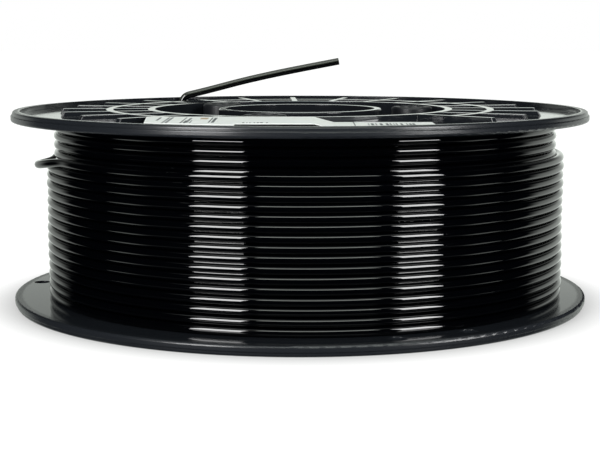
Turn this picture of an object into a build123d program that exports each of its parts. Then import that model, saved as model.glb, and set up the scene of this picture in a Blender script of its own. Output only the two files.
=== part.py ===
"""Filament spool: a 200 mm moulded plastic spool carrying 2.85 mm filament.

The spool lies on its lower flange. Millimetres, +Z up along the spool's axis, origin at the centre of
the underside. The strand's free end comes up through the upper flange at the back left (-X, +Y).
"""
from build123d import *
import math
import os

# ---------------------------------------------------------------- spool
FLANGE_RADIUS = 100.0
SPOOL_HEIGHT = 67.0
FLANGE_THICKNESS = 3.5          # rim, rings and ribs, from the inner face to the outer face
WEB_THICKNESS = 1.8             # the flange's disc between the rim and the rings
RIM_INNER_RADIUS = 97.0
RIM_BAND = 2.1                  # width of the rim's full-radius band, next to the inner face
RIM_STEP = 0.5                  # the rim's outer band is this much smaller in radius
RIM_ROUND = 0.8
STEP_ROUND = 0.3

BORE_RADIUS = 26.2
SLEEVE_RADIUS = 28.5
COLLAR_INNER_RADIUS = 50.8
COLLAR_OUTER_RADIUS = 53.2
BARREL_RADIUS = 55.4
MIDDLE_RING_INNER = 65.2
MIDDLE_RING_OUTER = 67.6
RIB_END_RADIUS = 82.9
RIB_END_SLOPE = 0.9             # a rib is this much longer at its foot
RIB_END_ROUND = 0.5
RIB_WIDTH = 2.0
RIB_COUNT = 24
RIB_FIRST_ANGLE = 2.1
BAY_FIRST_RIB = 18              # the label bay lies between these two ribs: no ribs and no middle ring
BAY_LAST_RIB = 21
HUB_RECESS = 8.0                # from a flange's outer face down to its hub plate
HUB_PLATE = 2.0

POST_COUNT = 3
POST_CIRCLE_RADIUS = 41.3
POST_FIRST_ANGLE = 14.0
POST_END_RADIUS = 7.25
POST_SHANK_RADIUS = 9.0         # the shank's shoulders keep the two hub plates apart
POST_BORE_RADIUS = 4.5
POST_CHAMFER = 0.6

END_HOLE_RADIUS = 2.8
END_HOLE_CIRCLE = 94.0
END_HOLE_STEP = 15.0            # the filament-end holes come in pairs, this many degrees apart
UPPER_HOLE_PAIRS = (0.0, 120.0, 240.0)
LOWER_HOLE_PAIRS = (-72.0, 48.0, 160.0)

# ---------------------------------------------------------------- filament
FILAMENT_DIAMETER = 2.85
TURN_PITCH = 3.06
WINDING_OFFSET = 1.75           # the windings lie this far off the spool's axis, towards +X
OUTER_LAYER_RADIUS = 88.6       # to the centre of the strand
UNDER_LAYER_RADIUS = 85.95
OUTER_TURNS = 15
UNDER_TURNS = 19
FIRST_OUTER_TURN = 5.0          # height of the lowest turn's centre
FIRST_UNDER_TURN = 6.2          # the outer turns nest between the under turns
BACKING_BAND = 0.8              # thickness of the band that joins a layer's turns into one piece
CORE_PACK_CLEARANCE = 0.2
LOOSE_TURN_SHIFT = 4.2          # the last turn's left half stands off the winding by this much
LAST_TURN_END = 30.0            # the last turn runs anticlockwise, seen from above, to this angle
FIRST_TAIL_RUN = 19.5           # the tail's first run goes straight on from the last turn

# ---------------------------------------------------------------- labels
LABEL_THICKNESS = 0.2
LABEL_EDGE_RADIUS = 95.8        # both labels end just inside the rim

UPPER_INNER_FACE = SPOOL_HEIGHT - FLANGE_THICKNESS
STRAND_RADIUS = FILAMENT_DIAMETER / 2
LAST_TURN_HEIGHT = FIRST_OUTER_TURN + OUTER_TURNS * TURN_PITCH
WINDING_AXIS = Axis((WINDING_OFFSET, 0, 0), (0, 0, 1))


def save(part, name):
    part.label = name
    export_step(part, f"parts/{name}.step")
    print(f"{name}: {part.volume:.0f} mm3")


def polar(radius, degrees, centre_x=0.0):
    angle = math.radians(degrees)
    return (centre_x + radius * math.cos(angle), radius * math.sin(angle))


def circle_edges(part, radius, height):
    """The circular edges of one radius at one height."""
    circles = part.edges().filter_by(GeomType.CIRCLE)
    same_radius = circles.filter_by(lambda edge: math.isclose(edge.radius, radius, abs_tol=0.01))
    return same_radius.filter_by(lambda edge: math.isclose(edge.center().Z, height, abs_tol=0.01))


# ---------------------------------------------------------------- flanges
def rib_angle(rib):
    return RIB_FIRST_ANGLE + rib * 360 / RIB_COUNT


def make_flange(inner_face, outward, hole_pairs):
    """One moulded flange. Its sketches lie on its inner face and above it, going outward."""

    def level(height):
        return Plane(origin=(0, 0, inner_face + outward * height), x_dir=(1, 0, 0), z_dir=(0, 0, outward))

    hub_plate_inner = FLANGE_THICKNESS - HUB_RECESS - HUB_PLATE
    with BuildPart() as flange:
        with BuildSketch(level(0)):
            Circle(FLANGE_RADIUS)
            Circle(COLLAR_INNER_RADIUS, mode=Mode.SUBTRACT)
        extrude(amount=WEB_THICKNESS)

        # Rim, in two bands
        with BuildSketch(level(0)):
            Circle(FLANGE_RADIUS)
            Circle(RIM_INNER_RADIUS, mode=Mode.SUBTRACT)
        extrude(amount=RIM_BAND)
        with BuildSketch(level(RIM_BAND)):
            Circle(FLANGE_RADIUS - RIM_STEP)
            Circle(RIM_INNER_RADIUS, mode=Mode.SUBTRACT)
        extrude(amount=FLANGE_THICKNESS - RIM_BAND)

        # Middle ring, open across the label bay
        with BuildSketch(level(WEB_THICKNESS)):
            Circle(MIDDLE_RING_OUTER)
            Circle(MIDDLE_RING_INNER, mode=Mode.SUBTRACT)
            with BuildLine():
                Polyline(
                    (0, 0),
                    polar(FLANGE_RADIUS, outward * rib_angle(BAY_FIRST_RIB)),
                    polar(FLANGE_RADIUS, outward * rib_angle(BAY_LAST_RIB)),
                    close=True,
                )
            make_face(mode=Mode.SUBTRACT)
        extrude(amount=FLANGE_THICKNESS - WEB_THICKNESS)

        # Radial ribs, from the collar to beyond the middle ring, with sloping outer ends
        rib_start = (COLLAR_INNER_RADIUS + COLLAR_OUTER_RADIUS) / 2
        rib_planes = []
        for rib in range(RIB_COUNT):
            if BAY_FIRST_RIB < rib < BAY_LAST_RIB:
                continue
            angle = math.radians(rib_angle(rib))
            along = (math.cos(angle), math.sin(angle), 0)
            across = (outward * math.sin(angle), -outward * math.cos(angle), 0)
            rib_planes.append(Plane(origin=(0, 0, inner_face), x_dir=along, z_dir=across))
        with BuildSketch(*rib_planes):
            with BuildLine():
                Polyline(
                    (rib_start, WEB_THICKNESS / 2),
                    (RIB_END_RADIUS + RIB_END_SLOPE, WEB_THICKNESS / 2),
                    (RIB_END_RADIUS + RIB_END_SLOPE, WEB_THICKNESS),
                    (RIB_END_RADIUS, FLANGE_THICKNESS),
                    (rib_start, FLANGE_THICKNESS),
                    close=True,
                )
            make_face()
        extrude(amount=RIB_WIDTH / 2, both=True)
        end_length = math.hypot(RIB_END_SLOPE, FLANGE_THICKNESS - WEB_THICKNESS)
        straight = flange.part.edges().filter_by(GeomType.LINE)
        end_edges = straight.filter_by(lambda edge: math.isclose(edge.length, end_length, abs_tol=0.01))
        fillet(end_edges, RIB_END_ROUND)

        # Collar that reaches into the barrel, and the hub plate that closes it
        with BuildSketch(level(hub_plate_inner)):
            Circle(COLLAR_OUTER_RADIUS)
            Circle(COLLAR_INNER_RADIUS, mode=Mode.SUBTRACT)
        extrude(amount=FLANGE_THICKNESS - hub_plate_inner)
        with BuildSketch(level(hub_plate_inner)):
            Circle(COLLAR_OUTER_RADIUS)
            Circle(SLEEVE_RADIUS, mode=Mode.SUBTRACT)
            with PolarLocations(POST_CIRCLE_RADIUS, POST_COUNT, start_angle=outward * POST_FIRST_ANGLE):
                Circle(POST_END_RADIUS, mode=Mode.SUBTRACT)
        extrude(amount=HUB_PLATE)

        # Filament-end holes through the web
        with BuildSketch(level(0)):
            for pair in hole_pairs:
                for angle in (pair, pair + END_HOLE_STEP):
                    with Locations(polar(END_HOLE_CIRCLE, outward * angle)):
                        Circle(END_HOLE_RADIUS)
        extrude(amount=WEB_THICKNESS, mode=Mode.SUBTRACT)

        for radius, height, size in (
            (FLANGE_RADIUS, 0.0, RIM_ROUND),
            (FLANGE_RADIUS, RIM_BAND, STEP_ROUND),
            (FLANGE_RADIUS - RIM_STEP, FLANGE_THICKNESS, RIM_ROUND),
        ):
            fillet(circle_edges(flange.part, radius, inner_face + outward * height), size)
    return flange.part


os.makedirs("parts", exist_ok=True)
save(make_flange(FLANGE_THICKNESS, -1, LOWER_HOLE_PAIRS), "lower_flange")
save(make_flange(UPPER_INNER_FACE, 1, UPPER_HOLE_PAIRS), "upper_flange")

# ---------------------------------------------------------------- hub
with BuildPart() as winding_barrel:
    with BuildSketch(Plane.XY.offset(FLANGE_THICKNESS)):
        Circle(BARREL_RADIUS)
        Circle(COLLAR_OUTER_RADIUS, mode=Mode.SUBTRACT)
    extrude(amount=UPPER_INNER_FACE - FLANGE_THICKNESS)
save(winding_barrel.part, "winding_barrel")

with BuildPart() as bore_sleeve:
    with BuildSketch():
        Circle(SLEEVE_RADIUS)
        Circle(BORE_RADIUS, mode=Mode.SUBTRACT)
    extrude(amount=SPOOL_HEIGHT)
    for end in (0, SPOOL_HEIGHT):
        chamfer(circle_edges(bore_sleeve.part, SLEEVE_RADIUS, end), STEP_ROUND)
save(bore_sleeve.part, "bore_sleeve")


def make_post(centre):
    """A hollow post: its two ends pass through the hub plates and its thicker shank holds them apart."""
    shoulder = HUB_RECESS + HUB_PLATE
    with BuildPart() as post:
        with BuildSketch():
            with Locations(centre):
                Circle(POST_END_RADIUS)
                Circle(POST_BORE_RADIUS, mode=Mode.SUBTRACT)
        extrude(amount=SPOOL_HEIGHT)
        with BuildSketch(Plane.XY.offset(shoulder)):
            with Locations(centre):
                Circle(POST_SHANK_RADIUS)
                Circle(POST_BORE_RADIUS, mode=Mode.SUBTRACT)
        extrude(amount=SPOOL_HEIGHT - 2 * shoulder)
        for end in (0, SPOOL_HEIGHT):
            chamfer(circle_edges(post.part, POST_END_RADIUS, end), POST_CHAMFER)
    return post.part


for index in range(POST_COUNT):
    centre = polar(POST_CIRCLE_RADIUS, POST_FIRST_ANGLE + index * 360 / POST_COUNT)
    save(make_post(centre), f"joining_post_{index + 1}")

# ---------------------------------------------------------------- windings
CORE_PACK_RADIUS = UNDER_LAYER_RADIUS - STRAND_RADIUS - CORE_PACK_CLEARANCE

with BuildPart() as filament_core_pack:
    with BuildSketch(Plane.XY.offset(FLANGE_THICKNESS)):
        with Locations((WINDING_OFFSET, 0)):
            Circle(CORE_PACK_RADIUS)
        Circle(BARREL_RADIUS, mode=Mode.SUBTRACT)
    extrude(amount=UPPER_INNER_FACE - FLANGE_THICKNESS)
save(filament_core_pack.part, "filament_core_pack")


def make_layer(radius, first_turn, turns):
    """A layer of turns, side by side, on a thin band that joins their centres."""
    last_turn = first_turn + (turns - 1) * TURN_PITCH
    with BuildPart() as layer:
        with BuildSketch(Plane.XZ):
            for turn in range(turns):
                with Locations((WINDING_OFFSET + radius, first_turn + turn * TURN_PITCH)):
                    Circle(STRAND_RADIUS)
            with Locations((WINDING_OFFSET + radius, (first_turn + last_turn) / 2)):
                Rectangle(BACKING_BAND, last_turn - first_turn)
        revolve(axis=WINDING_AXIS)
    return layer.part


save(make_layer(UNDER_LAYER_RADIUS, FIRST_UNDER_TURN, UNDER_TURNS), "filament_under_layer")
save(make_layer(OUTER_LAYER_RADIUS, FIRST_OUTER_TURN, OUTER_TURNS), "filament_outer_layer")

with BuildPart() as filament_last_turn:
    with BuildLine(Plane.XY.offset(LAST_TURN_HEIGHT)) as last_turn_path:
        loose_half = CenterArc((WINDING_OFFSET - LOOSE_TURN_SHIFT, 0), OUTER_LAYER_RADIUS, 90, 180)
        Line(loose_half @ 1, (WINDING_OFFSET, -OUTER_LAYER_RADIUS))
        CenterArc((WINDING_OFFSET, 0), OUTER_LAYER_RADIUS, 270, 90 + LAST_TURN_END)
    last_turn_wire = last_turn_path.wires()[0]
    with BuildSketch(Plane(origin=last_turn_wire @ 0, z_dir=last_turn_wire % 0)):
        Circle(STRAND_RADIUS)
    sweep(path=last_turn_wire)
save(filament_last_turn.part, "filament_last_turn")

# ---------------------------------------------------------------- free end of the strand
# It leaves the last turn at the back right, climbs behind the winding to an end hole in the upper
# flange, folds back over the flange's edge of that hole, and ends as a stiff, nearly straight tail.
tail_start = (*polar(OUTER_LAYER_RADIUS, LAST_TURN_END, WINDING_OFFSET), LAST_TURN_HEIGHT)
first_run = polar(FIRST_TAIL_RUN, LAST_TURN_END + 90)
TAIL_ROUTE = [
    tail_start,
    (tail_start[0] + first_run[0], tail_start[1] + first_run[1], LAST_TURN_HEIGHT),
    (52.5, 76.5, 52.4),
    (31.5, 88.3, 55.0),
    (8.0, 94.0, 57.7),
    (-14.5, 93.2, 59.6),
    (-29.5, 89.6, 60.6),
    (-37.6, 86.6, 61.0),
    (-42.2, 84.3, 61.1),
    (-45.8, 82.4, 61.2),
    (-47.4, 81.6, 62.4),
    (-48.1, 81.2, 64.3),
    (-47.7, 81.1, 66.3),
    (-46.2, 81.1, 67.9),
    (-42.6, 81.2, 68.7),
    (-35.3, 81.5, 70.5),
    (-21.7, 82.0, 74.1),
    (-3.0, 82.6, 78.1),
    (15.8, 83.0, 81.6),
]


def corner_radii(route):
    """For each corner, 0.45 of the shorter run divided by the tangent of half the turn."""
    points = [Vector(*point) for point in route]
    radii = []
    for before, corner, after in zip(points, points[1:], points[2:]):
        run_in = corner - before
        run_out = after - corner
        half_turn = math.radians(run_in.get_angle(run_out) / 2)
        radii.append(0.45 * min(run_in.length, run_out.length) / math.tan(half_turn))
    return radii


tail_radii = corner_radii(TAIL_ROUTE)
print("tail radii:", [round(radius, 1) for radius in tail_radii])

with BuildPart() as filament_tail:
    with BuildLine() as tail_path:
        FilletPolyline(*TAIL_ROUTE, radius=tail_radii)
    tail_wire = tail_path.wires()[0]
    with BuildSketch(Plane(origin=tail_wire @ 0, z_dir=tail_wire % 0)):
        Circle(STRAND_RADIUS)
    sweep(path=tail_wire)
tail_volume = math.pi * STRAND_RADIUS**2 * tail_wire.length
print(f"tail length {tail_wire.length:.1f} mm, section x length {tail_volume:.0f} mm3")
save(filament_tail.part, "filament_tail")

# ---------------------------------------------------------------- labels
# The product label lies on the tops of the ribs. Its right end bends down into the label bay, where the
# spec label lies on the web.
PRODUCT_LABEL_LEFT = (-48.3, -54.2)
PRODUCT_LABEL_LEFT_END = (-46.0, -84.0)
PRODUCT_LABEL_BEND = 4.2
PRODUCT_LABEL_RIGHT = 10.6
PRODUCT_LABEL_BOTTOM = -88.8
TAB_RIGHT = -19.0               # left of this, the label reaches on to the rim
SPEC_LABEL_RIGHT = 41.6
LABEL_TOP = PRODUCT_LABEL_LEFT[1]
BAY_FLOOR = UPPER_INNER_FACE + WEB_THICKNESS


def on_label_edge(x):
    return (x, -math.sqrt(LABEL_EDGE_RADIUS**2 - x**2))


def arc_on_label_edge(start_x, end_x):
    ThreePointArc(on_label_edge(start_x), on_label_edge((start_x + end_x) / 2), on_label_edge(end_x))


with BuildPart() as product_label:
    with BuildSketch(Plane.XZ):
        with BuildLine():
            underside = [
                (PRODUCT_LABEL_LEFT[0] - 1, SPOOL_HEIGHT),
                (PRODUCT_LABEL_BEND, SPOOL_HEIGHT),
                (PRODUCT_LABEL_RIGHT, BAY_FLOOR),
            ]
            upper_side = [(x, z + LABEL_THICKNESS) for x, z in reversed(underside)]
            Polyline(*underside, *upper_side, close=True)
        make_face()
    extrude(amount=FLANGE_RADIUS)
    with BuildSketch(Plane.XY.offset(BAY_FLOOR)):
        with BuildLine():
            Polyline(
                on_label_edge(PRODUCT_LABEL_LEFT_END[0]),
                PRODUCT_LABEL_LEFT_END,
                PRODUCT_LABEL_LEFT,
                (PRODUCT_LABEL_RIGHT, LABEL_TOP),
                (PRODUCT_LABEL_RIGHT, PRODUCT_LABEL_BOTTOM),
                (TAB_RIGHT, PRODUCT_LABEL_BOTTOM),
                on_label_edge(TAB_RIGHT),
            )
            arc_on_label_edge(TAB_RIGHT, PRODUCT_LABEL_LEFT_END[0])
        make_face()
    extrude(amount=SPOOL_HEIGHT - BAY_FLOOR + LABEL_THICKNESS, mode=Mode.INTERSECT)
save(product_label.part, "product_label")

with BuildPart() as spec_label:
    with BuildSketch(Plane.XY.offset(BAY_FLOOR)):
        with BuildLine():
            Polyline(
                (PRODUCT_LABEL_RIGHT, PRODUCT_LABEL_BOTTOM),
                (PRODUCT_LABEL_RIGHT, LABEL_TOP),
                (SPEC_LABEL_RIGHT, LABEL_TOP),
                (SPEC_LABEL_RIGHT, PRODUCT_LABEL_BOTTOM + 8),
                (SPEC_LABEL_RIGHT - 8, PRODUCT_LABEL_BOTTOM),
                close=True,
            )
        make_face()
    extrude(amount=LABEL_THICKNESS)
save(spec_label.part, "spec_label")
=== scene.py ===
"""Looks of the filament spool: glossy black strand, black mouldings and paper labels, in a light tent."""
import bpy
import math
import random
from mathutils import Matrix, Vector


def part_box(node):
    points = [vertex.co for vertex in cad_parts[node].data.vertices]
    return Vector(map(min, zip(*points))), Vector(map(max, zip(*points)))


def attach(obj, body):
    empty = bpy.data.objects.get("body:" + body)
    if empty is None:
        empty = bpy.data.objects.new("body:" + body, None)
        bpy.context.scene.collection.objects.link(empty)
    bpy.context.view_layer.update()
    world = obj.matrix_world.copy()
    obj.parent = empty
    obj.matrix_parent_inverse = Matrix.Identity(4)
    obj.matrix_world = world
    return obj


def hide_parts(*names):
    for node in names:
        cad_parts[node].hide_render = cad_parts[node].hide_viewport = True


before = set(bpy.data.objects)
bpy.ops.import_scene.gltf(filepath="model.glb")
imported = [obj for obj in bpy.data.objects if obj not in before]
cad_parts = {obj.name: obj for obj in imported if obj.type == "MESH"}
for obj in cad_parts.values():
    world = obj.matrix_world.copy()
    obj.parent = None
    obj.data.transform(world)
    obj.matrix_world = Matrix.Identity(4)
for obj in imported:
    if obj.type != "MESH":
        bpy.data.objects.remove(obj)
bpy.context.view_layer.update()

MM = 0.001
BODY = "root"

# ---------------------------------------------------------------- sizes, from the frame
upper_low, upper_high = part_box("upper_flange")
outer_low, outer_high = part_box("filament_outer_layer")
under_low, under_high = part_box("filament_under_layer")
last_low, last_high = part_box("filament_last_turn")

SPOOL_HEIGHT = upper_high.z
STRAND_DIAMETER = last_high.z - last_low.z
STRAND_RADIUS = STRAND_DIAMETER / 2
WINDING_OFFSET = (outer_low.x + outer_high.x) / 2
OUTER_RADIUS = (outer_high.x - outer_low.x) / 2 - STRAND_RADIUS
UNDER_RADIUS = (under_high.x - under_low.x) / 2 - STRAND_RADIUS
LAST_TURN_HEIGHT = (last_low.z + last_high.z) / 2
FIRST_TURN_HEIGHT = outer_low.z + STRAND_RADIUS
OUTER_TURNS = 16
PITCH = (LAST_TURN_HEIGHT - FIRST_TURN_HEIGHT) / (OUTER_TURNS - 1)
UNDER_LIFT = 0.25 * MM         # the layer beneath lies this much higher than its CAD rings
UNDER_TOP_HEIGHT = under_high.z - STRAND_RADIUS + UNDER_LIFT
UNDER_PITCH = 3.05 * MM
UNDER_TURNS = 19


# ---------------------------------------------------------------- node helpers
class Nodes:
    """A short way to write a node tree."""

    def __init__(self, tree):
        self.tree = tree
        tree.nodes.clear()

    def add(self, kind, inputs=None, **settings):
        node = self.tree.nodes.new(kind)
        for name, value in settings.items():
            setattr(node, name, value)
        for name, value in (inputs or {}).items():
            self.set(node.inputs[name], value)
        return node

    def set(self, socket, value):
        if isinstance(value, bpy.types.NodeSocket):
            self.tree.links.new(value, socket)
        elif isinstance(value, bpy.types.Node):
            self.tree.links.new(value.outputs[0], socket)
        else:
            socket.default_value = value

    def math(self, operation, first, second=0.0):
        return self.add("ShaderNodeMath", {0: first, 1: second}, operation=operation)

    def ramp(self, factor, low, high, to_low=0.0, to_high=1.0):
        """A smooth change from one value to another, as the factor goes from low to high."""
        inputs = {"Value": factor, "From Min": low, "From Max": high, "To Min": to_low, "To Max": to_high}
        return self.add("ShaderNodeMapRange", inputs, interpolation_type="SMOOTHSTEP")

    def within(self, value, low, high):
        """1 where the value lies between low and high, 0 elsewhere."""
        inputs = {0: value, 1: (low + high) / 2, 2: (high - low) / 2}
        return self.add("ShaderNodeMath", inputs, operation="COMPARE")

    def mix(self, factor, first, second):
        inputs = {"Factor": factor, "A": first, "B": second}
        return self.add("ShaderNodeMix", inputs, data_type="RGBA").outputs["Result"]


def new_material(name):
    material = bpy.data.materials.new(name)
    material.use_nodes = True
    return material, Nodes(material.node_tree)


# ---------------------------------------------------------------- materials
EDGE_SOFTENING = 0.35 * MM
RUBBED_RADIUS = 96.5 * MM      # outside this radius the flanges' rims are rubbed duller
RUBBED_WIDTH = 1.5 * MM
RUBBED_ROUGHNESS = 0.17
WAVE_ROUGHNESS = 0.02          # added or taken away by the slow unevenness
SCUFF_NOISE = (0.62, 0.8)      # where a scuff begins and where it is full, in the fine noise
SCUFF_ROUGHNESS = 0.02
SCUFF_SHARE = 0.15             # of the worn colour in a full scuff
WORN_GAIN = 2.2                # the worn colour is the base colour times this, plus the haze
WORN_HAZE = 0.006


def moulded_plastic(name, base, roughness):
    """Black moulding: softened edges, slow unevenness, faint scuffs and a rubbed, duller rim."""
    material, nodes = new_material(name)
    place = nodes.add("ShaderNodeTexCoord").outputs["Object"]
    flat = nodes.add("ShaderNodeVectorMath", {0: place, 1: (1.0, 1.0, 0.0)}, operation="MULTIPLY")
    out = nodes.add("ShaderNodeVectorMath", {0: flat}, operation="LENGTH").outputs["Value"]
    rubbed = nodes.ramp(out, RUBBED_RADIUS, RUBBED_RADIUS + RUBBED_WIDTH, 0.0, RUBBED_ROUGHNESS)
    waves = nodes.add("ShaderNodeTexNoise", {"Vector": place, "Scale": 28.0, "Detail": 2.0})
    scuffs = nodes.add("ShaderNodeTexNoise", {"Vector": place, "Scale": 160.0, "Detail": 8.0})
    scuffed = nodes.ramp(scuffs.outputs["Fac"], *SCUFF_NOISE)
    worn = tuple(channel * WORN_GAIN + WORN_HAZE for channel in base[:3]) + (1.0,)
    colour = nodes.mix(nodes.math("MULTIPLY", scuffed, SCUFF_SHARE), base, worn)
    smoothest = roughness - WAVE_ROUGHNESS
    roughest = roughness + WAVE_ROUGHNESS
    polish = nodes.ramp(waves.outputs["Fac"], 0.3, 0.7, smoothest, roughest)
    dulled = nodes.math("ADD", rubbed, nodes.math("MULTIPLY", scuffed, SCUFF_ROUGHNESS))
    rough = nodes.math("ADD", polish, dulled)
    softened = nodes.add("ShaderNodeBevel", {"Radius": EDGE_SOFTENING}, samples=4)
    bumps = nodes.add("ShaderNodeBump", {
        "Height": waves.outputs["Fac"], "Strength": 0.05, "Distance": 0.2 * MM, "Normal": softened})
    shader = nodes.add("ShaderNodeBsdfPrincipled", {
        "Base Color": colour, "Roughness": rough, "Normal": bumps, "IOR": 1.5})
    nodes.add("ShaderNodeOutputMaterial", {"Surface": shader})
    return material


STRAND_BLACK = (0.0004, 0.0005, 0.0008, 1.0)
STRAND_ROUGHNESS = (0.03, 0.06)
# Olive grey for the strand's upper side: partly dust, partly painted light from above
DUST_AND_TOP_LIGHT = (0.027, 0.03, 0.024, 1.0)
TOP_LIGHT_AND_DUST_SLOPE = (0.1, 0.35)      # the normal's Z where the dust and painted top light begin and where they are full
DUST_AND_TOP_LIGHT_PATCHES = 0.2             # how far the smears shift that


def strand_plastic(name, dust_and_top_light=False):
    """Very glossy black extrusion with slight unevenness. Dust and painted light from above make its upper
    side olive grey.
    """
    material, nodes = new_material(name)
    place = nodes.add("ShaderNodeTexCoord").outputs["Object"]
    waves = nodes.add("ShaderNodeTexNoise", {"Vector": place, "Scale": 60.0, "Detail": 2.0})
    smears = nodes.add("ShaderNodeTexNoise", {"Vector": place, "Scale": 220.0, "Detail": 5.0})
    rough = nodes.ramp(smears.outputs["Fac"], 0.35, 0.75, *STRAND_ROUGHNESS)
    colour = STRAND_BLACK
    if dust_and_top_light:
        geometry = nodes.add("ShaderNodeNewGeometry")
        normal = nodes.add("ShaderNodeSeparateXYZ", {"Vector": geometry.outputs["Normal"]})
        patches = nodes.math("MULTIPLY", smears.outputs["Fac"], DUST_AND_TOP_LIGHT_PATCHES)
        upward = nodes.math("ADD", normal.outputs["Z"], patches)
        # Painted light: the upper side gets a lighter colour, as if lit from above, together with dust
        colour = nodes.mix(nodes.ramp(upward, *TOP_LIGHT_AND_DUST_SLOPE), colour, DUST_AND_TOP_LIGHT)
    bumps = nodes.add("ShaderNodeBump", {"Height": waves, "Strength": 0.15, "Distance": 0.2 * MM})
    shader = nodes.add("ShaderNodeBsdfPrincipled", {
        "Base Color": colour, "Roughness": rough, "Normal": bumps, "IOR": 1.55})
    nodes.add("ShaderNodeOutputMaterial", {"Surface": shader})
    return material


PAPER_SHADE = (0.74, 0.77, 0.75, 1.0)
PAPER_LIGHT = (0.85, 0.88, 0.86, 1.0)
INK = (0.05, 0.06, 0.07, 1.0)
PALE_INK = (0.16, 0.17, 0.18, 1.0)
TAN_INK = (0.42, 0.3, 0.19, 1.0)
BARS_PER_METRE = 1100.0
BAR_THRESHOLD = 0.52           # the bar noise prints where it is above this


def label_paper(name, blocks, strokes):
    """Coated paper. Blocks are plain printed rectangles, strokes are rows of short bars without meaning.

    Each is (left, right, bottom, top, ink), in millimetres in the object's frame.
    """
    material, nodes = new_material(name)
    place = nodes.add("ShaderNodeTexCoord").outputs["Object"]
    axes = nodes.add("ShaderNodeSeparateXYZ", {"Vector": place})
    fibres = nodes.add("ShaderNodeTexNoise", {"Vector": place, "Scale": 1400.0, "Detail": 6.0})
    stains = nodes.add("ShaderNodeTexNoise", {"Vector": place, "Scale": 45.0, "Detail": 3.0})
    tone = nodes.math("MULTIPLY", nodes.math("ADD", fibres.outputs["Fac"], stains.outputs["Fac"]), 0.5)
    colour = nodes.mix(tone, PAPER_SHADE, PAPER_LIGHT)
    spacing = {"W": axes.outputs["X"], "Scale": BARS_PER_METRE, "Detail": 0.0}
    bar_noise = nodes.add("ShaderNodeTexNoise", spacing, noise_dimensions="1D")
    bars = nodes.math("GREATER_THAN", bar_noise.outputs["Fac"], BAR_THRESHOLD)
    for printed, broken in ((blocks, False), (strokes, True)):
        for left, right, bottom, top, ink in printed:
            across = nodes.within(axes.outputs["X"], left * MM, right * MM)
            along = nodes.within(axes.outputs["Y"], bottom * MM, top * MM)
            mask = nodes.math("MULTIPLY", across, along)
            if broken:
                mask = nodes.math("MULTIPLY", mask, bars)
            colour = nodes.mix(mask, colour, ink)
    bumps = nodes.add("ShaderNodeBump", {"Height": fibres, "Strength": 0.2, "Distance": 0.1 * MM})
    shader = nodes.add("ShaderNodeBsdfPrincipled", {
        "Base Color": colour, "Roughness": 0.45, "Normal": bumps, "IOR": 1.45})
    nodes.add("ShaderNodeOutputMaterial", {"Surface": shader})
    return material


spool_plastic = moulded_plastic("spool_plastic", base=(0.009, 0.0105, 0.013, 1.0), roughness=0.08)
hub_plastic = moulded_plastic("hub_plastic", base=(0.008, 0.009, 0.011, 1.0), roughness=0.08)
post_plastic = moulded_plastic("post_plastic", base=(0.006, 0.007, 0.009, 1.0), roughness=0.4)
filament = strand_plastic("filament")
dust_and_top_light_filament = strand_plastic("dust_and_top_light_filament", dust_and_top_light=True)
product_paper = label_paper(
    "product_label_paper",
    blocks=[
        (-43.6, -42.9, -74, -59, INK),
        (-34.0, -33.2, -84, -62, PALE_INK),
        (-30.6, -28.2, -68, -60, TAN_INK),
    ],
    strokes=[
        (-41.0, -35.0, -86, -58, PALE_INK),
        (-36.5, -32.0, -86, -74, INK),
        (-28.0, -24.5, -84, -60, INK),
        (-17.0, -9.0, -86, -82, PALE_INK),
    ])
spec_paper = label_paper(
    "spec_label_paper",
    blocks=[(16.6, 16.95, -90, -54, INK)],
    strokes=[(20.0, 35.5, -70, -61, INK), (21.0, 29.0, -77, -73, PALE_INK)])


def give(names, material):
    for name in names:
        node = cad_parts[name]
        node.data.materials.clear()
        node.data.materials.append(material)


give(("lower_flange", "upper_flange"), spool_plastic)
give(("winding_barrel", "bore_sleeve"), hub_plastic)
give(("joining_post_1", "joining_post_2", "joining_post_3"), post_plastic)
give(("filament_core_pack",), filament)
give(("product_label",), product_paper)
give(("spec_label",), spec_paper)


# ---------------------------------------------------------------- windings
def tube(name, centres, radius, sides=12):
    """A smooth closed tube that follows a list of points."""
    tangents = []
    for index in range(len(centres)):
        before = centres[max(index - 1, 0)]
        after = centres[min(index + 1, len(centres) - 1)]
        tangents.append((after - before).normalized())
    vertices = []
    faces = []
    for centre, tangent in zip(centres, tangents):
        across = tangent.cross(Vector((0, 0, 1))).normalized()
        up = across.cross(tangent)
        for side in range(sides):
            angle = 2 * math.pi * side / sides
            vertices.append(centre + radius * (math.cos(angle) * across + math.sin(angle) * up))
    for ring in range(len(centres) - 1):
        for side in range(sides):
            first = ring * sides + side
            second = ring * sides + (side + 1) % sides
            faces.append((first, first + sides, second + sides, second))
    faces.append(tuple(range(sides)))
    faces.append(tuple(reversed(range(len(vertices) - sides, len(vertices)))))
    mesh = bpy.data.meshes.new(name)
    mesh.from_pydata([tuple(vertex) for vertex in vertices], [], faces)
    mesh.polygons.foreach_set("use_smooth", [True] * (len(faces) - 2) + [False] * 2)
    mesh.update()
    piece = bpy.data.objects.new(name, mesh)
    bpy.context.scene.collection.objects.link(piece)
    return piece


FRONT = 270.0                  # in degrees from +X: the winding's front faces -Y
BACK = 90.0                    # both layers begin at the back
STEPS_PER_TURN = 150
RADIAL_WOBBLE = 0.3 * MM
HEIGHT_WOBBLE = 0.12 * MM
WOBBLE_SHIFT = 777             # degrees between the two wobbles, which keeps them apart
LEVEL_PART = 0.24              # of a turn, on either side of the front
MIDDLE_LIFT = 0.6 * MM         # the outer layer's middle turns lie this much above an even spacing
MIDDLE_TURN = 8.0              # where the lift is full
LIFT_BELOW = 7.5               # turns that the lift takes to fade out below there
LIFT_ABOVE = 14.0              # and above there


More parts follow.
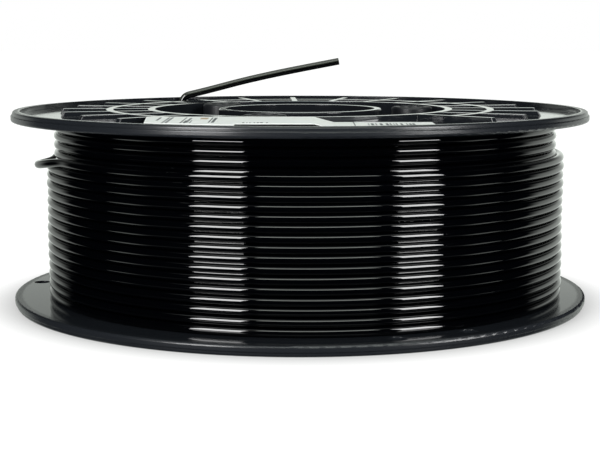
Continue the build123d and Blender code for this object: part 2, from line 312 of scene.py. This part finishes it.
def winding_point(degrees, radius, height):
    angle = math.radians(degrees)
    return Vector((WINDING_OFFSET + radius * math.cos(angle), radius * math.sin(angle), height))


WAVE_COUNT = 5
SLOWEST_WAVE = 0.3             # waves per turn
FASTEST_WAVE = 2.7

draw = random.Random(7)
WAVES = [(draw.uniform(SLOWEST_WAVE, FASTEST_WAVE), draw.uniform(0, 360)) for _ in range(WAVE_COUNT)]


def wobble(degrees, size):
    """A slow unevenness that differs from turn to turn."""
    total = sum(math.sin(math.radians(rate * degrees + start)) for rate, start in WAVES)
    return size * total / len(WAVES)


def turns_climbed(degrees):
    """Turns gained since the first front: a turn lies level across the front and climbs at the back."""
    turns = (degrees - FRONT) / 360
    nearest = round(turns)
    past_front = turns - nearest
    rise = max(abs(past_front) - LEVEL_PART, 0) / (0.5 - LEVEL_PART)
    return nearest + math.copysign(0.5 * rise ** 2, past_front)


def hump(value, centre, before, after):
    """A smooth hump of height 1, whose two sides may have different widths."""
    width = before if value < centre else after
    return math.cos(math.pi / 2 * min(abs(value - centre) / width, 1.0)) ** 2


def outer_height(degrees):
    """Height of the outer layer, whose middle turns lie a little high."""
    climbed = min(max(turns_climbed(degrees), 0), OUTER_TURNS - 1)
    lift = MIDDLE_LIFT * hump(climbed, MIDDLE_TURN, LIFT_BELOW, LIFT_ABOVE)
    return FIRST_TURN_HEIGHT + PITCH * climbed + lift


def dress(piece, replaced, material=filament):
    """Give a strand piece its material and body, and hide the CAD node that it stands in for."""
    piece.data.materials.append(material)
    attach(piece, BODY)
    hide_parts(replaced)


# Angles go on counting from turn to turn, so these are over 360 degrees
LAST_FRONT = FRONT + 360 * (OUTER_TURNS - 1)
LAST_START = LAST_FRONT - 180
LAST_END = LAST_FRONT + 120

outer_points = []
for step in range(int((LAST_START - BACK) / 360 * STEPS_PER_TURN) + 1):
    degrees = BACK + step * 360 / STEPS_PER_TURN
    radius = OUTER_RADIUS + wobble(degrees, RADIAL_WOBBLE)
    height = outer_height(degrees) + wobble(degrees + WOBBLE_SHIFT, HEIGHT_WOBBLE)
    outer_points.append(winding_point(degrees, radius, height))
outer_layer = tube("outer_layer", outer_points, STRAND_RADIUS)
dress(outer_layer, "filament_outer_layer")

# The last turn is loose where it passes the left side: it bows out and sags over the one below it. The
# bulge and the sag reach so many degrees before and after their own angles.
LOOSE_BULGE = 4.1 * MM
BULGE_ANGLE = LAST_START + 101.0
BULGE_BEFORE = 11.0
BULGE_AFTER = 18.0
LOOSE_SAG = 2.6 * MM
SAG_ANGLE = LAST_START + 97.0
SAG_BEFORE = 24.0
SAG_AFTER = 22.0
LAST_STEPS = 300

last_points = []
for step in range(LAST_STEPS + 1):
    degrees = LAST_START + (LAST_END - LAST_START) * step / LAST_STEPS
    radius = OUTER_RADIUS + LOOSE_BULGE * hump(degrees, BULGE_ANGLE, BULGE_BEFORE, BULGE_AFTER)
    height = outer_height(degrees) - LOOSE_SAG * hump(degrees, SAG_ANGLE, SAG_BEFORE, SAG_AFTER)
    last_points.append(winding_point(degrees, radius, height))
last_turn = tube("last_turn", last_points, STRAND_RADIUS)
dress(last_turn, "filament_last_turn")

under_points = []
for step in range((UNDER_TURNS - 1) * STEPS_PER_TURN + 1):
    degrees = BACK + step * 360 / STEPS_PER_TURN
    height = UNDER_TOP_HEIGHT - UNDER_PITCH * max(turns_climbed(degrees), 0)
    under_points.append(winding_point(degrees, UNDER_RADIUS, height))
under_layer = tube("under_layer", under_points, STRAND_RADIUS)
dress(under_layer, "filament_under_layer")

# ---------------------------------------------------------------- free end of the strand
# It goes straight on from the last turn, up behind the winding to an end hole, and folds back over the
# flange. The route is in metres.
FIRST_RUN = 19.5 * MM

tail_start = winding_point(LAST_END, OUTER_RADIUS, outer_height(LAST_END))
start_angle = math.radians(LAST_END)
first_run = FIRST_RUN * Vector((-math.sin(start_angle), math.cos(start_angle), 0))
tail_route = [
    tail_start,
    tail_start + first_run,
    (0.0525, 0.0765, 0.0524),
    (0.0315, 0.0883, 0.0550),
    (0.0080, 0.0940, 0.0577),
    (-0.0145, 0.0932, 0.0596),
    (-0.0295, 0.0896, 0.0606),
    (-0.0376, 0.0866, 0.0610),
    (-0.0422, 0.0843, 0.0611),
    (-0.0458, 0.0824, 0.0612),
    (-0.0474, 0.0816, 0.0624),
    (-0.0481, 0.0812, 0.0643),
    (-0.0477, 0.0811, 0.0663),
    (-0.0462, 0.0811, 0.0679),
    (-0.0426, 0.0812, 0.0687),
    (-0.0353, 0.0815, 0.0705),
    (-0.0217, 0.0820, 0.0741),
    (-0.0030, 0.0826, 0.0781),
    (0.0158, 0.0830, 0.0816),
]

tail_curve = bpy.data.curves.new("filament_end", "CURVE")
tail_curve.dimensions = "3D"
tail_curve.bevel_depth = STRAND_RADIUS
tail_curve.bevel_resolution = 5
tail_curve.use_fill_caps = True
tail_curve.resolution_u = 16
spline = tail_curve.splines.new("NURBS")
spline.points.add(len(tail_route) - 1)
for point, place in zip(spline.points, tail_route):
    point.co = (*place, 1.0)
spline.order_u = 3
spline.use_endpoint_u = True
spline.use_smooth = True
filament_end = bpy.data.objects.new("filament_end", tail_curve)
bpy.context.scene.collection.objects.link(filament_end)
dress(filament_end, "filament_tail", dust_and_top_light_filament)

# ---------------------------------------------------------------- floor, light and camera
# The floor glows, more with distance, so that a soft shade lies close round the spool
FLOOR_HALF = 6.0
FLOOR_GREY = (0.2, 0.2, 0.2, 1.0)
SHADE_START = 0.08             # metres from the spool's axis, as is the shade's end
SHADE_END = 0.12
SHADED_GLOW = 0.05
OPEN_GLOW = 0.95

floor_corners = [(x * FLOOR_HALF, y * FLOOR_HALF, 0) for x, y in ((-1, -1), (1, -1), (1, 1), (-1, 1))]
floor_mesh = bpy.data.meshes.new("floor")
floor_mesh.from_pydata(floor_corners, [], [(0, 1, 2, 3)])
floor = bpy.data.objects.new("floor", floor_mesh)
bpy.context.scene.collection.objects.link(floor)
floor_material, nodes = new_material("floor")
place = nodes.add("ShaderNodeTexCoord").outputs["Object"]
away = nodes.add("ShaderNodeVectorMath", {0: place}, operation="LENGTH").outputs["Value"]
lit = nodes.add("ShaderNodeBsdfDiffuse", {"Color": FLOOR_GREY})
brightness = nodes.ramp(away, SHADE_START, SHADE_END, SHADED_GLOW, OPEN_GLOW)
glow = nodes.add("ShaderNodeEmission", {"Strength": brightness})
nodes.add("ShaderNodeOutputMaterial", {"Surface": nodes.add("ShaderNodeAddShader", {0: lit, 1: glow})})
floor_mesh.materials.append(floor_material)
floor.visible_glossy = False

# The light tent, by the direction that light comes from: X, Y and Z are that direction's parts, and azimuth
# is in degrees from the front, positive to the right. A pair is where a light begins and where it is full,
# or its levels at those two places. The camera itself sees plain white.
TENT_TINT = (0.94, 1.0, 0.94, 1.0)
SHEET_BEGINS = (0.45, 0.65)    # the white sheet behind the spool, in Y
SHEET_LEAN = 0.105             # added to Y for each unit of X, so it begins sooner at the right
SHEET_SIDES = (-0.5, 0.5)      # its left and right sides, in X
SHEET_LEVELS = (0.55, 0.75)
SHEET_MIDDLE = (0.88, 0.97)    # its brighter middle, in Y
MIDDLE_LEVELS = (0.0, 0.35)
SHEET_FADES = (0.05, 0.36)     # and where it fades out upwards, in Z
STRIP_HEIGHT = (0.66, 0.8)     # the bright strip high across the front, in Z
STRIP_AZIMUTH = (-25.0, 38.0)
STRIP_LEVEL = 5.0
GLOW_DEPTH = (-0.72, -0.54)    # the floor's glow on each side, in Z
GLOW_AZIMUTH = (50.0, 110.0)
GLOW_BEGINS = (86.0, 102.0)    # where it rises, in azimuth
GLOW_LEVELS = (0.1, 1.0)
ROOF_BEGINS = (0.8, 0.9)       # the pale roof, in Z
ROOF_LEVELS = (0.0, 1.2)

world = bpy.data.worlds.new("light_tent")
bpy.context.scene.world = world
world.use_nodes = True
nodes = Nodes(world.node_tree)
direction = nodes.add("ShaderNodeTexCoord").outputs["Generated"]
axes = nodes.add("ShaderNodeSeparateXYZ", {"Vector": direction})
rightward, backward, upward = (axes.outputs[axis] for axis in "XYZ")
forward = nodes.math("MULTIPLY", backward, -1.0)
azimuth = nodes.math("DEGREES", nodes.math("ARCTAN2", rightward, forward))
sideways = nodes.math("ABSOLUTE", azimuth)

lean = nodes.math("MULTIPLY", rightward, SHEET_LEAN)
sheet = nodes.ramp(nodes.math("ADD", backward, lean), *SHEET_BEGINS)
sheet = nodes.math("MULTIPLY", sheet, nodes.ramp(rightward, *SHEET_SIDES, *SHEET_LEVELS))
sheet = nodes.math("ADD", sheet, nodes.ramp(backward, *SHEET_MIDDLE, *MIDDLE_LEVELS))
sheet = nodes.math("MULTIPLY", sheet, nodes.ramp(upward, *SHEET_FADES, 1.0, 0.0))

strip = nodes.math("MULTIPLY", nodes.within(upward, *STRIP_HEIGHT), STRIP_LEVEL)
strip = nodes.math("MULTIPLY", nodes.within(azimuth, *STRIP_AZIMUTH), strip)

floor_glow = nodes.math("MULTIPLY", nodes.within(sideways, *GLOW_AZIMUTH), nodes.within(upward, *GLOW_DEPTH))
floor_glow = nodes.math("MULTIPLY", nodes.ramp(sideways, *GLOW_BEGINS, *GLOW_LEVELS), floor_glow)

roof = nodes.ramp(upward, *ROOF_BEGINS, *ROOF_LEVELS)
light = nodes.math("ADD", nodes.math("ADD", strip, roof), nodes.math("ADD", sheet, floor_glow))

tent = nodes.add("ShaderNodeBackground", {"Color": TENT_TINT, "Strength": light})
backdrop = nodes.add("ShaderNodeBackground", {"Color": (1.0, 1.0, 1.0, 1.0)})
seen = nodes.add("ShaderNodeLightPath").outputs["Is Camera Ray"]
choice = nodes.add("ShaderNodeMixShader", {0: seen, 1: tent, 2: backdrop})
nodes.add("ShaderNodeOutputWorld", {"Surface": choice})


# The two panels that make the columns of bright bars on the strand, in metres from the spool's axis and
# from the floor
PANEL_DISTANCE = 1.2
PANEL_BOTTOM = 0.03
PANEL_TOP = 0.87
PANEL_RADIANCE = 14.0


def light_panel(name, azimuth, width):
    """An upright rectangular light that faces the spool, at an azimuth measured as the tent's is."""
    height = PANEL_TOP - PANEL_BOTTOM
    panel = bpy.data.lights.new(name, "AREA")
    panel.shape = "RECTANGLE"
    panel.size = width
    panel.size_y = height
    panel.energy = PANEL_RADIANCE * math.pi * width * height
    lamp = bpy.data.objects.new(name, panel)
    around = math.radians(azimuth)
    outward = Vector((math.sin(around), -math.cos(around), 0))
    lamp.location = PANEL_DISTANCE * outward + Vector((0, 0, (PANEL_BOTTOM + PANEL_TOP) / 2))
    lamp.rotation_euler = outward.to_track_quat("Z", "Y").to_euler()
    bpy.context.scene.collection.objects.link(lamp)


light_panel("left_panel", azimuth=-36.7, width=0.465)
light_panel("right_panel", azimuth=48.6, width=0.385)

CAMERA_DISTANCE = 0.511
CAMERA_HEIGHT = 0.0942
AIM = Vector((0.0, 0.0, 0.0255))
FOCAL_LENGTH = 87.0            # millimetres, as is the sensor's width
SENSOR_WIDTH = 36.0
NEAREST_SEEN = 0.01

camera_data = bpy.data.cameras.new("camera")
camera_data.lens = FOCAL_LENGTH
camera_data.sensor_width = SENSOR_WIDTH
camera_data.clip_start = NEAREST_SEEN
camera = bpy.data.objects.new("camera", camera_data)
camera.location = (0.0, -CAMERA_DISTANCE, CAMERA_HEIGHT)
camera.rotation_euler = (AIM - camera.location).to_track_quat("-Z", "Y").to_euler()
bpy.context.scene.collection.objects.link(camera)
bpy.context.scene.camera = camera
bpy.context.scene.view_settings.view_transform = "Standard"
